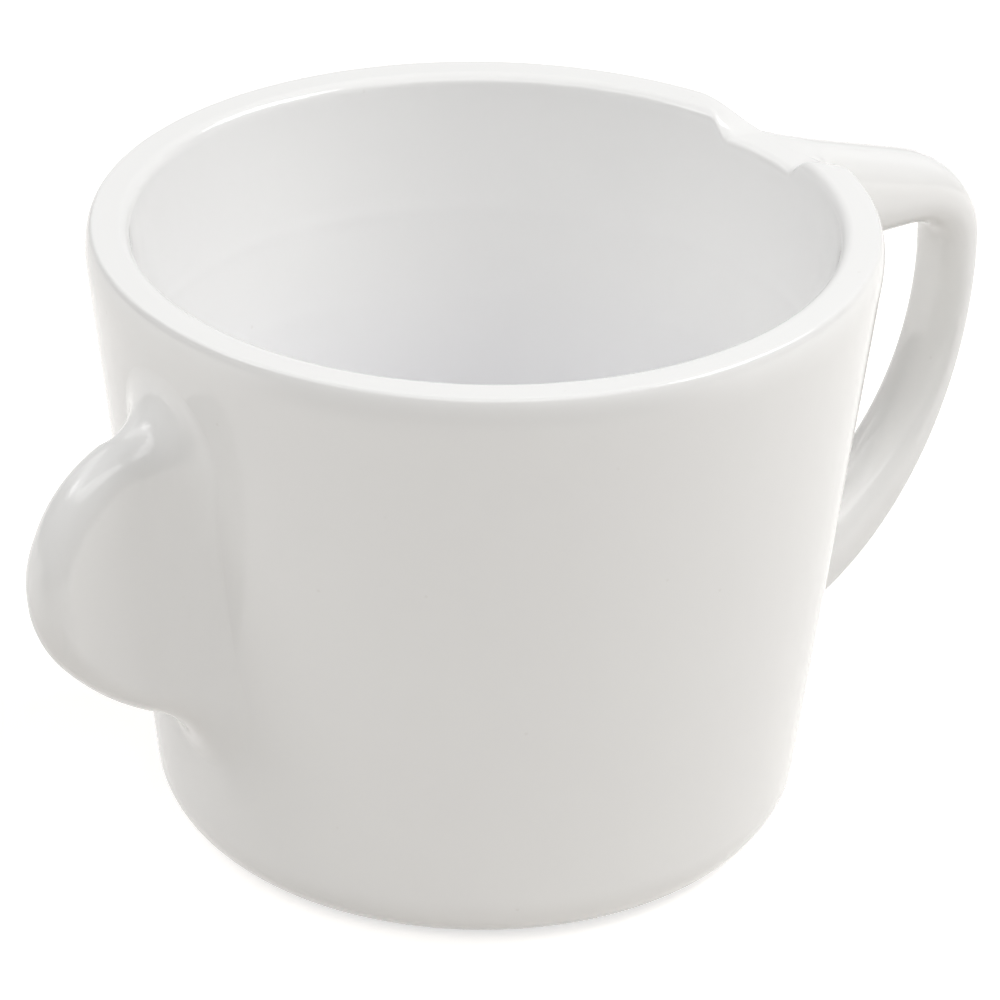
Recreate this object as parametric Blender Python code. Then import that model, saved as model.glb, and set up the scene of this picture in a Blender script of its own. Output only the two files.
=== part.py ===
"""Two-handled cup: a thick-walled tapered body with a notch in its rim, a loop handle and a lug handle.

The three pieces are cast apart and stuck together with slip, so each is a solid of its own and a thin joint
is left between a handle and the wall. The cup stands on z = 0 with its axis on +Z. The loop handle points
to +X and the lug handle to -X.
"""

import math

import bmesh
import bpy
import numpy as np

# Driving dimensions, in millimetres and degrees

# Cup body
CUP_HEIGHT = 73.3
RIM_RADIUS = 45.0
BASE_RADIUS = 36.4  # where the straight outer wall would meet the table
BASE_ROUND = 7.5
RIM_WIDTH = 5.2
RIM_OUTER_ROUND = 2.6
RIM_INNER_ROUND = 1.4
WELL_RADIUS = 31.8  # where the straight inner wall would meet the floor
WELL_ROUND = 8.0
FLOOR_THICKNESS = 5.0

# Notch in the rim, level with the top of the loop handle
NOTCH_DEPTH = 2.15
NOTCH_FLOOR_WIDTH = 11.0
NOTCH_RAMP = 5.5
NOTCH_EDGE_ROUND = 0.5

# Loop handle
HANDLE_REACH = 24.4  # from the rim's edge out to the middle of the strap
HANDLE_WIDTH = 9.2
HANDLE_THICKNESS = 4.2
HANDLE_TOP_DEPTH = 9.6  # thickness of the top bar where it leaves the cup
HANDLE_TOP_SLOPE = 17.5
HANDLE_BEND = 7.0
HANDLE_FOOT_HEIGHT = 10.5  # where the middle of the strap meets the wall
HANDLE_FOOT_SLOPE = 8.0
HANDLE_FOOT_DEPTH = 7.0  # thickness of the strap where it meets the wall
HANDLE_DROP = 15.0  # how far the strap runs straight down below the bend
HANDLE_SWEEP = 24.0  # how far its lower end runs straight out of the wall
HANDLE_FILLET = 4.0
HANDLE_FOOT_FILLET = 3.0

# Lug handle
LUG_HEIGHT = 44.8  # middle of its round nose
LUG_RADIUS = 16.1
LUG_STANDOFF = 3.0  # from the wall to the middle of the nose
LUG_THICKNESS = 6.8
LUG_SLOPE = 38.0  # of its straight underside
LUG_FILLET = 5.0
LUG_TOP_FILLET = 7.5
LUG_UNDER_FILLET = 1.5
LUG_ROOT_TAPER = 16.0  # length of the rounded ends of its root

# Joints between the pieces
JOINT_GAP = 0.3
JOINT_EDGE = 0.5  # thickness that a fillet ends with

# Fineness of the meshes
WALL_STEPS = 66
NOTCH_STEPS = 26
HANDLE_SIDES = 20
LUG_SIDES = 32
FILLET_STEPS = 5

# Finish of the glazed pieces
GLAZE_WHITE = (0.85, 0.85, 0.84, 1.0)
GLAZE_ROUGHNESS = 0.08

MM = 0.001
SECTION_POWER = 2.6  # squareness of the handle's rounded section
QUARTER_ARC = 0.5523  # Bezier handle length that draws a quarter circle of radius 1


def outer_lean():
    return math.atan2(RIM_RADIUS - BASE_RADIUS, CUP_HEIGHT)


def inner_lean():
    return math.atan2(RIM_RADIUS - RIM_WIDTH - WELL_RADIUS, CUP_HEIGHT - FLOOR_THICKNESS)


def wall_radius(z):
    return BASE_RADIUS + math.tan(outer_lean()) * z


def well_radius(z):
    return WELL_RADIUS + math.tan(inner_lean()) * (z - FLOOR_THICKNESS)


def base_middle():
    """Middle (radius, z) of the rounded corner of the base."""
    return wall_radius(BASE_ROUND) - BASE_ROUND / math.cos(outer_lean()), BASE_ROUND


def outer_radius(z):
    """Radius of the outside at this height, over the straight wall and the rounded corner of the base."""
    middle_radius, middle_z = base_middle()
    below = middle_z - z
    if below < BASE_ROUND * math.sin(outer_lean()):
        return wall_radius(z)
    return middle_radius + math.sqrt(max(BASE_ROUND ** 2 - below ** 2, 0.0))


def smooth_step(value):
    value = min(max(value, 0.0), 1.0)
    return value * value * (3.0 - 2.0 * value)


def arc(centre, radius, start, end, count):
    """Points round part of a circle, from one angle to another."""
    angles = np.linspace(start, end, count)
    return [(centre[0] + radius * math.cos(a), centre[1] + radius * math.sin(a)) for a in angles]


def bezier(points, count):
    """Points along a cubic Bezier curve, both ends included."""
    a, b, c, d = (np.asarray(p, float) for p in points)
    steps = np.linspace(0.0, 1.0, count)
    return [(1 - t) ** 3 * a + 3 * t * (1 - t) ** 2 * b + 3 * t * t * (1 - t) * c + t ** 3 * d for t in steps]


def loft(name, rings, start, end):
    """A closed solid through rings of points, ending in one point at each end."""
    mesh_data = bmesh.new()
    loops = [[mesh_data.verts.new(np.asarray(p) * MM) for p in ring] for ring in rings]
    count = len(loops[0])
    for lower, upper in zip(loops, loops[1:]):
        for i in range(count):
            j = (i + 1) % count
            mesh_data.faces.new((lower[i], lower[j], upper[j], upper[i]))
    for point, loop in ((start, loops[0]), (end, loops[-1])):
        tip = mesh_data.verts.new(np.asarray(point) * MM)
        for i in range(count):
            mesh_data.faces.new((loop[i], loop[(i + 1) % count], tip))
    bmesh.ops.recalc_face_normals(mesh_data, faces=mesh_data.faces)
    mesh = bpy.data.meshes.new(name)
    mesh_data.to_mesh(mesh)
    mesh_data.free()
    mesh.shade_smooth()
    mesh.set_sharp_from_angle(angle=math.radians(40))
    return bpy.data.objects.new(name, mesh)


# Cup body


def notch_cut(azimuth):
    """1 on the floor of the notch, 0 on the rim, and between them on the ramps."""
    if math.cos(azimuth) < 0:
        return 0.0
    side = abs(RIM_RADIUS * math.sin(azimuth))
    return 1.0 - smooth_step((side - NOTCH_FLOOR_WIDTH / 2) / NOTCH_RAMP)


def body_section(cut):
    """Half section (radius, z) from the edge of the base, over the rim and down to the floor inside."""
    lean = outer_lean()
    slant = inner_lean()
    top = CUP_HEIGHT - NOTCH_DEPTH * cut
    # The two rounds of the rim together take no more than its width.
    room = min(1.0, 0.97 * RIM_WIDTH / (RIM_OUTER_ROUND + RIM_INNER_ROUND))
    outer_round = room * (RIM_OUTER_ROUND + (NOTCH_EDGE_ROUND - RIM_OUTER_ROUND) * cut)
    inner_round = room * RIM_INNER_ROUND
    outer_z = top - outer_round
    outer_middle = (wall_radius(outer_z) - outer_round / math.cos(lean), outer_z)
    inner_z = top - inner_round
    inner_middle = (well_radius(inner_z) + inner_round / math.cos(slant), inner_z)
    floor_z = FLOOR_THICKNESS + WELL_ROUND
    floor_middle = (well_radius(floor_z) - WELL_ROUND / math.cos(slant), floor_z)
    right = math.pi / 2
    section = arc(base_middle(), BASE_ROUND, -right, -lean, 6)
    section += arc(outer_middle, outer_round, -lean, right, 5)
    section += arc(inner_middle, inner_round, right, math.pi - slant, 5)
    section += arc(floor_middle, WELL_ROUND, -slant, -right, 7)
    return section


def make_body():
    edge = math.asin((NOTCH_FLOOR_WIDTH / 2 + NOTCH_RAMP) / RIM_RADIUS)
    across_notch = np.linspace(-edge, edge, NOTCH_STEPS, endpoint=False)
    round_wall = np.linspace(edge, 2 * math.pi - edge, WALL_STEPS, endpoint=False)
    azimuths = np.concatenate([across_notch, round_wall])
    sections = [body_section(notch_cut(a)) for a in azimuths]
    rings = []
    for k in range(len(sections[0])):
        places = [section[k] for section in sections]
        rings.append([(r * math.cos(a), r * math.sin(a), z) for a, (r, z) in zip(azimuths, places)])
    return loft("cup_body", rings, (0, 0, 0), (0, 0, FLOOR_THICKNESS))


# Joints of the handles with the wall


def on_wall(y, z, lift):
    """The point of the outer wall's +X side at this y and z, lifted off it."""
    return np.array([math.sqrt((outer_radius(z) + lift) ** 2 - y * y), y, z])


def meet_wall(point, direction, lift):
    """Where a line from this point meets the wall."""
    point = np.array(point, float)
    for _ in range(40):
        short = math.hypot(point[0], point[1]) - outer_radius(point[2]) - lift
        point = point + np.asarray(direction) * short
    return point


def meet_wall_all(section, directions):
    """Where lines from all points of a section meet the wall, lifted off it by the joint."""
    return np.array([meet_wall(p, d, JOINT_GAP + JOINT_EDGE) for p, d in zip(section, directions)])


def spread(ring, lengths):
    """A ring (y, z) moved outwards, square to itself, by a length for each point."""
    along = np.roll(ring, -1, axis=0) - np.roll(ring, 1, axis=0)
    outward = np.stack([along[:, 1], -along[:, 0]], axis=1)
    outward /= np.linalg.norm(outward, axis=1)[:, None]
    if ((ring - ring.mean(axis=0)) * outward).sum() < 0:
        outward = -outward
    return ring + outward * np.asarray(lengths)[:, None]


def joint_rings(section, hits, edge):
    """Rings that flare from a section to the wall and close square to it, and the middle of the joint face.

    hits are where the section would meet the wall without a fillet. edge is where the fillet ends (y, z).
    """
    middle = hits[:, 1:].mean(axis=0)
    rails = []
    for start, hit, (y, z) in zip(section, hits, edge):
        end = on_wall(y, z, JOINT_GAP + JOINT_EDGE)
        first = np.asarray(start) + (hit - start) * QUARTER_ARC
        last = end + (hit - end) * QUARTER_ARC
        rails.append(bezier((start, first, last, end), FILLET_STEPS + 1)[1:])
    rings = [[rail[k] for rail in rails] for k in range(FILLET_STEPS)]
    for share in (1.0, 0.6, 0.25):
        places = middle + (edge - middle) * share
        rings.append([on_wall(y, z, JOINT_GAP) for y, z in places])
    return rings, on_wall(middle[0], middle[1], JOINT_GAP)


# Loop handle


def handle_line():
    """Points (x, z) down the middle of the strap, from clear of the wall's notch to the wall near the base.

    With them come the counts of points on the top bar and on the bend.
    """
    slope = math.radians(HANDLE_TOP_SLOPE)
    start_z = CUP_HEIGHT - NOTCH_DEPTH - HANDLE_TOP_DEPTH / 2
    start_x = wall_radius(start_z)
    bend_x = RIM_RADIUS + HANDLE_REACH - HANDLE_BEND
    tangent_x = bend_x + HANDLE_BEND * math.sin(slope)
    tangent_z = start_z - math.tan(slope) * (tangent_x - start_x)
    bend_z = tangent_z - HANDLE_BEND * math.cos(slope)
    first_x = start_x + HANDLE_FILLET + JOINT_GAP + JOINT_EDGE
    first_z = start_z - math.tan(slope) * (first_x - start_x)
    top = np.linspace((first_x, first_z), (tangent_x, tangent_z), 6)[:-1]
    bend = arc((bend_x, bend_z), HANDLE_BEND, math.pi / 2 - slope, 0.0, 7)
    foot = np.array([wall_radius(HANDLE_FOOT_HEIGHT), HANDLE_FOOT_HEIGHT])
    rise = math.radians(HANDLE_FOOT_SLOPE)
    strap_top = np.array(bend[-1])
    below = strap_top - (0.0, HANDLE_DROP)
    beside = foot + HANDLE_SWEEP * np.array([math.cos(rise), math.sin(rise)])
    strap = bezier((strap_top, below, beside, foot), 20)[1:]
    return np.concatenate([top, bend, strap]), len(top), len(bend)


def handle_section(place, heading, half_depth):
    """One rounded section of the strap, square to its heading in the middle plane."""
    side = np.array([-heading[1], heading[0]])
    ring = []
    for turn in np.arange(HANDLE_SIDES) * 2 * math.pi / HANDLE_SIDES:
        deep = math.copysign(abs(math.cos(turn)) ** (2 / SECTION_POWER), math.cos(turn))
        wide = math.copysign(abs(math.sin(turn)) ** (2 / SECTION_POWER), math.sin(turn))
        x, z = place + side * half_depth * deep
        ring.append(np.array([x, wide * HANDLE_WIDTH / 2, z]))
    return ring


def make_handle():
    line, top_count, bend_count = handle_line()
    headings = np.gradient(line, axis=0)
    headings /= np.linalg.norm(headings, axis=1)[:, None]
    strap_start = top_count + bend_count
    depths = []
    for i in range(len(line)):
        top_share = 1.0 - smooth_step((i - top_count / 2) / (strap_start - top_count / 2))
        foot_share = smooth_step((i - strap_start) / (len(line) - strap_start))
        depth = HANDLE_THICKNESS + (HANDLE_TOP_DEPTH - HANDLE_THICKNESS) * top_share
        depths.append(depth + (HANDLE_FOOT_DEPTH - HANDLE_THICKNESS) * foot_share)
    from_wall = line[:, 0] - [wall_radius(z) for z in line[:, 1]]
    kept = [i for i in range(len(line)) if from_wall[i] > HANDLE_FOOT_FILLET + JOINT_GAP + JOINT_EDGE]
    sections = [handle_section(line[i], headings[i], depths[i] / 2) for i in kept]
    turns = np.arange(HANDLE_SIDES) * 2 * math.pi / HANDLE_SIDES
    # The top of the upper joint runs straight into the notch, so it has no fillet there.
    upper_fillets = [HANDLE_FILLET * smooth_step((1.0 - math.cos(t)) * 1.5) for t in turns]
    lower_fillets = [HANDLE_FOOT_FILLET] * HANDLE_SIDES
    upward = np.array([-headings[kept[0], 0], 0.0, -headings[kept[0], 1]])
    inward = np.array([headings[kept[-1], 0], 0.0, headings[kept[-1], 1]])
    upper_hits = meet_wall_all(sections[0], [upward] * HANDLE_SIDES)
    lower_hits = meet_wall_all(sections[-1], [inward] * HANDLE_SIDES)
    upper, upper_middle = joint_rings(sections[0], upper_hits, spread(upper_hits[:, 1:], upper_fillets))
    lower, lower_middle = joint_rings(sections[-1], lower_hits, spread(lower_hits[:, 1:], lower_fillets))
    rings = upper[::-1] + sections + lower
    return loft("loop_handle", rings, upper_middle, lower_middle)


# Lug handle


def lug_outline():
    """The lug's edge (x, z) in its middle plane: its level top, round nose and straight sloping underside."""
    middle = np.array([wall_radius(LUG_HEIGHT) + LUG_STANDOFF, LUG_HEIGHT])
    slope = math.radians(LUG_SLOPE)
    nose = np.array(arc(middle, LUG_RADIUS, math.pi / 2, slope - math.pi / 2, 60))
    run = LUG_RADIUS + LUG_STANDOFF
    top = np.linspace(nose[0] - (run, 0.0), nose[0], 10)[:-1]
    underside = np.linspace(nose[-1], nose[-1] - run * np.array([1.0, math.tan(slope)]), 20)[1:]
    return np.concatenate([top, nose, underside])


def lug_section(upper, lower, half_thick, upper_cap, lower_cap):
    """A tall ring (y, z) with straight sides and rounded ends between two heights."""
    ring = []
    for turn in (np.arange(LUG_SIDES) + 0.5) * 2 * math.pi / LUG_SIDES:
        cap = upper_cap if math.cos(turn) > 0 else lower_cap
        end = upper - upper_cap if math.cos(turn) > 0 else lower + lower_cap
        ring.append((half_thick * math.sin(turn), end + cap * math.cos(turn)))
    return ring


def make_lug():
    outline = lug_outline()
    stands = outline[:, 0] - np.array([wall_radius(z) for z in outline[:, 1]])
    tip = int(np.argmax(stands))
    reach = stands[tip]
    half = LUG_THICKNESS / 2
    level = LUG_FILLET + JOINT_GAP + JOINT_EDGE
    slants = np.gradient(outline, axis=0)
    level_share = np.abs(slants[:, 0]) / np.linalg.norm(slants, axis=1)
    sections = []
    for stand in level + (reach - level) * np.sin(np.linspace(0.0, math.pi / 2, 12))[:-1]:
        upper = np.interp(stand, stands[: tip + 1], outline[: tip + 1, 1])
        lower = np.interp(stand, stands[: tip - 1 : -1], outline[: tip - 1 : -1, 1])
        upper_share = np.interp(stand, stands[: tip + 1], level_share[: tip + 1])
        lower_share = np.interp(stand, stands[: tip - 1 : -1], level_share[: tip - 1 : -1])
        middle = (upper - lower) / 2
        short = max(0.0, stand - (reach - half)) / half
        half_thick = half * math.sqrt(1.0 - short * short)
        upper_cap = min(middle, half / max(upper_share, 0.05))
        lower_cap = min(middle, half / max(lower_share, 0.05))
        ring = lug_section(upper, lower, half_thick, upper_cap, lower_cap)
        sections.append([np.array([wall_radius(z) + stand, y, z]) for y, z in ring])
    heights = np.array(sections[0])[:, 2]
    # The top runs level into the wall and the underside keeps its slope.
    slopes = math.radians(LUG_SLOPE) * (heights.max() - heights) / np.ptp(heights)
    hits = meet_wall_all(sections[0], [np.array([-math.cos(a), 0.0, -math.sin(a)]) for a in slopes])
    root_top = hits[:, 2].max() + LUG_TOP_FILLET
    root_bottom = hits[:, 2].min() - LUG_UNDER_FILLET
    taper = min(LUG_ROOT_TAPER, (root_top - root_bottom) / 2)
    edge = np.array(lug_section(root_top, root_bottom, half + LUG_FILLET, taper, taper))
    root, root_middle = joint_rings(sections[0], hits, edge)
    nose = (outline[tip, 0], 0.0, outline[tip, 1])
    lug = loft("lug_handle", root[::-1] + sections, root_middle, nose)
    lug.rotation_euler = (0.0, 0.0, math.pi)
    return lug


# Finish and assembly


def glaze(name):
    material = bpy.data.materials.new(name)
    material.use_nodes = True
    shader = material.node_tree.nodes["Principled BSDF"]
    shader.inputs["Base Color"].default_value = GLAZE_WHITE
    shader.inputs["Roughness"].default_value = GLAZE_ROUGHNESS
    shader.inputs["Metallic"].default_value = 0.0
    return material


def main():
    for old in list(bpy.data.objects):
        bpy.data.objects.remove(old, do_unlink=True)
    scene = bpy.context.scene.collection
    assembly = bpy.data.objects.new("two_handled_cup", None)
    scene.objects.link(assembly)
    for piece in (make_body(), make_handle(), make_lug()):
        piece.data.materials.append(glaze(piece.name + "_glaze"))
        scene.objects.link(piece)
        piece.parent = assembly


main()
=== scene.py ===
"""Looks of the two-handled cup: a smooth glazed body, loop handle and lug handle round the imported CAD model.

Sizes are in millimetres and degrees until a mesh is made. The cup stands on z = 0 with its axis on +Z, the loop
handle points to +X and the lug handle to -X, as in the CAD model.
"""

import math

import bmesh
import bpy
import numpy as np
from mathutils import Matrix, Vector


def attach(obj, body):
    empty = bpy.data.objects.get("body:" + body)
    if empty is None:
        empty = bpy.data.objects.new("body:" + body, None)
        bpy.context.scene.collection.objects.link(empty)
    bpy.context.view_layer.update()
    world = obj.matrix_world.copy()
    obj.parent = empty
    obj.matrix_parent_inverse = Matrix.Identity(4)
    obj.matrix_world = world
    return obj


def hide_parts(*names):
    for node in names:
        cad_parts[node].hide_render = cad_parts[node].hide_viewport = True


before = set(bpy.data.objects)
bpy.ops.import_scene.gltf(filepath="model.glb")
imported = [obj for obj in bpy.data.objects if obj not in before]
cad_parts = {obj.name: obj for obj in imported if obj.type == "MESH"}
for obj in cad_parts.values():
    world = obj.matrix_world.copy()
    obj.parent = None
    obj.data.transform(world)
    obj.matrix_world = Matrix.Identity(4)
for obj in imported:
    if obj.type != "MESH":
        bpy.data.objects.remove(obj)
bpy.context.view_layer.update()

MM = 0.001

# Cup body
CUP_HEIGHT = 73.3
RIM_RADIUS = 45.0
BASE_RADIUS = 36.4  # where the straight outer wall would meet the table
BASE_ROUND = 7.5
RIM_WIDTH = 5.2
RIM_SHOULDER = 4.5  # how far below the top the outside starts to turn in
RIM_TURN = 1.3  # how far it turns in
RIM_INNER_ROUND = 1.4
WELL_RADIUS = 31.8  # where the straight inner wall would meet the floor
WELL_ROUND = 8.0
FLOOR_THICKNESS = 5.0
FOOT_INNER = 24.5  # the foot ring's inner edge
FOOT_RECESS = 0.8
FOOT_STEP = 1.6  # width of the slope up to the recess inside it
TOOL_RINGS = ((16.3, 0.050), (27.0, 0.030))  # depth below the rim and height of the faint rings inside
TOOL_RING_WIDTH = 0.8
WELL_SHADE_TOP = 52.0  # how high up the well the painted cool shade reaches
UNDERSIDE_RADII = (0.0, 6.0, 16.0)  # where the flat underside and the floor have rings of points
FLOOR_RADII = (12.0, 0.0)
FOOT_SUPPORT = 0.3  # how far from a rounded edge a flat face has one more ring, to shade cleanly
WELL_SUPPORT = 0.4
LIP_RUN = 0.15  # share of the inner wall's height that the close points below the lip are spread over

# Notch in the rim
NOTCH_DEPTH = 2.15
NOTCH_FLOOR_INSIDE = 12.4  # width of its floor at the rim's inner edge
NOTCH_FLOOR_OUTSIDE = 7.0  # and at the outer edge
NOTCH_TOP_INSIDE = 18.2  # width at the top of the rim, likewise
NOTCH_TOP_OUTSIDE = 31.0
NOTCH_EDGE_ROUND = 1.3

# Loop handle: its outer and its inner edge in the middle plane (x, z)
HANDLE_WIDTH = 9.2
HANDLE_FILLET = 4.0
HANDLE_FOOT_FILLET = 3.0
OUTER_POWER = 2.6  # squareness of the outer half of the handle's rounded section
INNER_POWER = 2.2  # and of the half towards the fingers
BAR_TOP = ((50.3, 69.6), (62.8, 65.35))
BEND_OUTSIDE = ((62.8, 65.35), (68.1, 63.6), (71.6, 59.3), (71.6, 54.0))
STRAP_OUTSIDE = ((71.6, 54.0), (71.6, 37.0), (63.2, 9.2), (38.3, 7.1))
BAR_UNDERSIDE = ((50.3, 56.7), (60.5, 56.7))
BEND_INSIDE = ((60.5, 56.7), (65.0, 56.7), (67.4, 54.9), (67.4, 51.5))
STRAP_INSIDE = ((67.4, 51.5), (68.5, 38.0), (62.0, 24.5), (37.0, 14.2))
NOTCH_REACH = 42.4  # how far in over the notch's floor the handle's top runs
NOTCH_DIP = 0.04  # how far it has sunk under the floor there
NOTCH_RUN = 3.4  # how long it takes to flatten on to the floor
NOTCH_RISE = 0.22  # how much higher it is where that starts
FLOOR_LEAD = 0.85  # share of the way to the wall on which the bar's top keeps its slope
FLOOR_ANGLE = 48.0  # how far round from its top the bar runs on to the floor
FLOOR_BLEND = 20.0  # angle on which it goes over from there to the wall
FLARE_ANGLE = 58.0  # where round the bar it is widest on the floor
BAR_FLARE = 1.1  # how much wider it is there, to each side
LEVEL_SPEED = 1.4  # how soon, from the bar's top to its underside, it heads level for the wall
FILLET_SPEED = 1.5  # and how soon its fillet reaches the full width
ROOT_DROP = 0.5  # how far under the notch's floor its ends on the wall stay
ROOT_SINK = 0.12  # how much deeper they dive under the turned-in shoulder of the rim
ROOT_SINK_START = 3.0  # how far under the notch's floor that starts
ROOT_SINK_RUN = 2.5
STRAP_ROOM = 0.8  # how far off the wall's fillet the plain strap ends

# Lug handle
LUG_HEIGHT = 44.8  # middle of its round nose
LUG_RADIUS = 16.1
LUG_STANDOFF = 2.95
LUG_THICKNESS = 6.8
LUG_TOP_SLOPE = 6.0
LUG_SLOPE = 50.0  # where the nose goes over into the underside
LUG_UNDER_RADIUS = 36.0
LUG_ROOT_SLOPE = 20.0  # slope of the underside at the wall
LUG_STAND = 7.0  # how far off the wall its fillets start
LUG_FILLET = 5.0  # how far along the wall they end: beside, above and below the lug
LUG_TOP_FILLET = 7.0
LUG_UNDER_FILLET = 7.5
LUG_LEAD = 0.72  # how much of the way to the wall a flank stays flat
LUG_CAP_LIMIT = 0.85  # share of half its height that a rounded end takes at most
LUG_LEAST_SHARE = 0.05  # how level an edge counts as at least, so that an end stays finite at the nose

SINK = 0.03  # how far a fillet's end dives under the wall, so that the glaze shows no seam
SKIRT = 0.8  # how far a handle's hidden end reaches into the wall
RUN_ON = 0.6  # how far a fillet runs on under the wall before that, so that it shades like the wall
QUARTER_ARC = 0.5523  # Bezier handle length that draws a quarter circle of radius 1

# Fineness of the meshes
STEPS_ROUND = 560
NOTCH_CROWDING = 0.5  # how much closer the steps stand at the notch
FOOT_STEPS = 7
CORNER_STEPS = 14  # of the rounded corners of the base and of the well
SHOULDER_STEPS = 24
CREST_STEPS = 8
LIP_STEPS = 13
TOOL_RING_STEPS = 11
BAR_STEPS = 16
BEND_STEPS = 22
STRAP_STEPS = 56
HANDLE_SIDES = 64
LUG_TOP_STEPS = 30
LUG_NOSE_STEPS = 160
LUG_UNDER_STEPS = 80
LUG_RINGS = 44
LUG_CAP_STEPS = 32
LUG_FLANK_STEPS = 16
FILLET_STEPS = 14
MEETING_ROUNDS = 40  # how often a line's meeting with the wall is corrected


# Shapes of the wall


def outer_lean():
    return math.atan2(RIM_RADIUS - BASE_RADIUS, CUP_HEIGHT)


def inner_lean():
    return math.atan2(RIM_RADIUS - RIM_WIDTH - WELL_RADIUS, CUP_HEIGHT - FLOOR_THICKNESS)


def wall_radius(z):
    return BASE_RADIUS + math.tan(outer_lean()) * z


def well_radius(z):
    return WELL_RADIUS + math.tan(inner_lean()) * (z - FLOOR_THICKNESS)


def base_middle():
    """Middle (radius, z) of the rounded corner of the base."""
    return wall_radius(BASE_ROUND) - BASE_ROUND / math.cos(outer_lean()), BASE_ROUND


def outer_radius(z):
    """Radius of the outside at this height, over the straight wall and the rounded corner of the base."""
    middle_radius, middle_z = base_middle()
    below = middle_z - z
    if below < BASE_ROUND * math.sin(outer_lean()):
        return wall_radius(z)
    return middle_radius + math.sqrt(max(BASE_ROUND ** 2 - below ** 2, 0.0))


def smooth_step(value):
    value = min(max(value, 0.0), 1.0)
    return value * value * (3.0 - 2.0 * value)


def arc(centre, radius, start, end, count):
    """Points round part of a circle, from one angle to another."""
    angles = np.linspace(start, end, count)
    return [(centre[0] + radius * math.cos(a), centre[1] + radius * math.sin(a)) for a in angles]


def bezier(points, count):
    """Points along a cubic Bezier curve, both ends included."""
    a, b, c, d = (np.asarray(p, float) for p in points)
    t = np.linspace(0.0, 1.0, count)[:, None]
    return (1 - t) ** 3 * a + 3 * t * (1 - t) ** 2 * b + 3 * t * t * (1 - t) * c + t ** 3 * d


def straight(start, end):
    """Points between two ends, close together near each end so that the rounds beside it shade cleanly."""
    shares = (0.006, 0.03, 0.12, 0.35, 0.65, 0.88, 0.97, 0.994)
    return [tuple(np.asarray(start) + (np.asarray(end) - start) * s) for s in shares]


def cup_section(cut):
    """Half section (radius, z) from the middle of the underside, over the rim, to the middle of the floor.

    cut is 0 for the full rim and 1 for the notch's floor.
    """
    lean = outer_lean()
    slant = inner_lean()
    right = math.pi / 2
    top = CUP_HEIGHT - NOTCH_DEPTH * cut
    shoulder = RIM_SHOULDER + (NOTCH_EDGE_ROUND - RIM_SHOULDER) * cut
    turn_in = RIM_TURN + (NOTCH_EDGE_ROUND - RIM_TURN) * cut
    shoulder_start = np.array([wall_radius(top - shoulder), top - shoulder])
    shoulder_end = np.array([wall_radius(top) - turn_in, top])
    upwards = np.array([math.tan(lean), 1.0]) * shoulder * QUARTER_ARC
    outwards = np.array([turn_in * QUARTER_ARC, 0.0])
    inner_z = top - RIM_INNER_ROUND
    inner_middle = (well_radius(inner_z) + RIM_INNER_ROUND / math.cos(slant), inner_z)
    floor_z = FLOOR_THICKNESS + WELL_ROUND
    floor_middle = (well_radius(floor_z) - WELL_ROUND / math.cos(slant), floor_z)
    section = [(radius, FOOT_RECESS) for radius in UNDERSIDE_RADII]
    for share in np.linspace(0.0, 1.0, FOOT_STEPS):
        radius = FOOT_INNER + FOOT_STEP * (share - 1.0)
        section.append((radius, FOOT_RECESS * (1.0 - smooth_step(share))))
    section += [(FOOT_INNER + FOOT_SUPPORT, 0.0), (base_middle()[0] - FOOT_SUPPORT, 0.0)]
    base = arc(base_middle(), BASE_ROUND, -right, -lean, CORNER_STEPS)
    turn = (shoulder_start, shoulder_start + upwards, shoulder_end + outwards, shoulder_end)
    rim = [tuple(p) for p in bezier(turn, SHOULDER_STEPS)]
    lip = arc(inner_middle, RIM_INNER_ROUND, right, math.pi - slant, LIP_STEPS)
    well = arc(floor_middle, WELL_ROUND, -slant, -right, CORNER_STEPS)
    crest = [tuple(p) for p in np.linspace(rim[-1], lip[0], CREST_STEPS)[1:-1]]
    section += base + straight(base[-1], rim[0]) + rim + crest + lip
    # The inner wall has points close together below the lip and above the well, and the faint rings between them.
    wall_top = np.array(lip[-1])
    fall = np.array(well[0]) - wall_top
    section += straight(wall_top, wall_top + fall * LIP_RUN)[:4]
    for depth, height in TOOL_RINGS:
        for offset in np.linspace(-2.0, 2.0, TOOL_RING_STEPS) * TOOL_RING_WIDTH:
            z = CUP_HEIGHT - depth - offset
            bump = height * math.exp(-((offset / TOOL_RING_WIDTH) ** 2))
            section.append((well_radius(z) - bump, z))
    section += straight(wall_top, well[0])[5:] + well
    section += [(radius, FLOOR_THICKNESS) for radius in (well[-1][0] - WELL_SUPPORT, *FLOOR_RADII)]
    return section


# Nodes


def add_node(tree, kind, inputs=None, **settings):
    """Adds a node. A value of inputs is a socket to link or a constant, by the input's name or number."""
    made = tree.nodes.new(kind)
    for name, value in settings.items():
        setattr(made, name, value)
    for key, value in (inputs or {}).items():
        if isinstance(value, bpy.types.NodeSocket):
            tree.links.new(value, made.inputs[key])
        else:
            made.inputs[key].default_value = value
    return made


def linear(hex_colour):
    """An sRGB hex colour as linear RGBA."""
    shares = [int(hex_colour[i : i + 2], 16) / 255 for i in (1, 3, 5)]
    return tuple(s / 12.92 if s <= 0.04045 else ((s + 0.055) / 1.055) ** 2.4 for s in shares) + (1.0,)


# Materials


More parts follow.
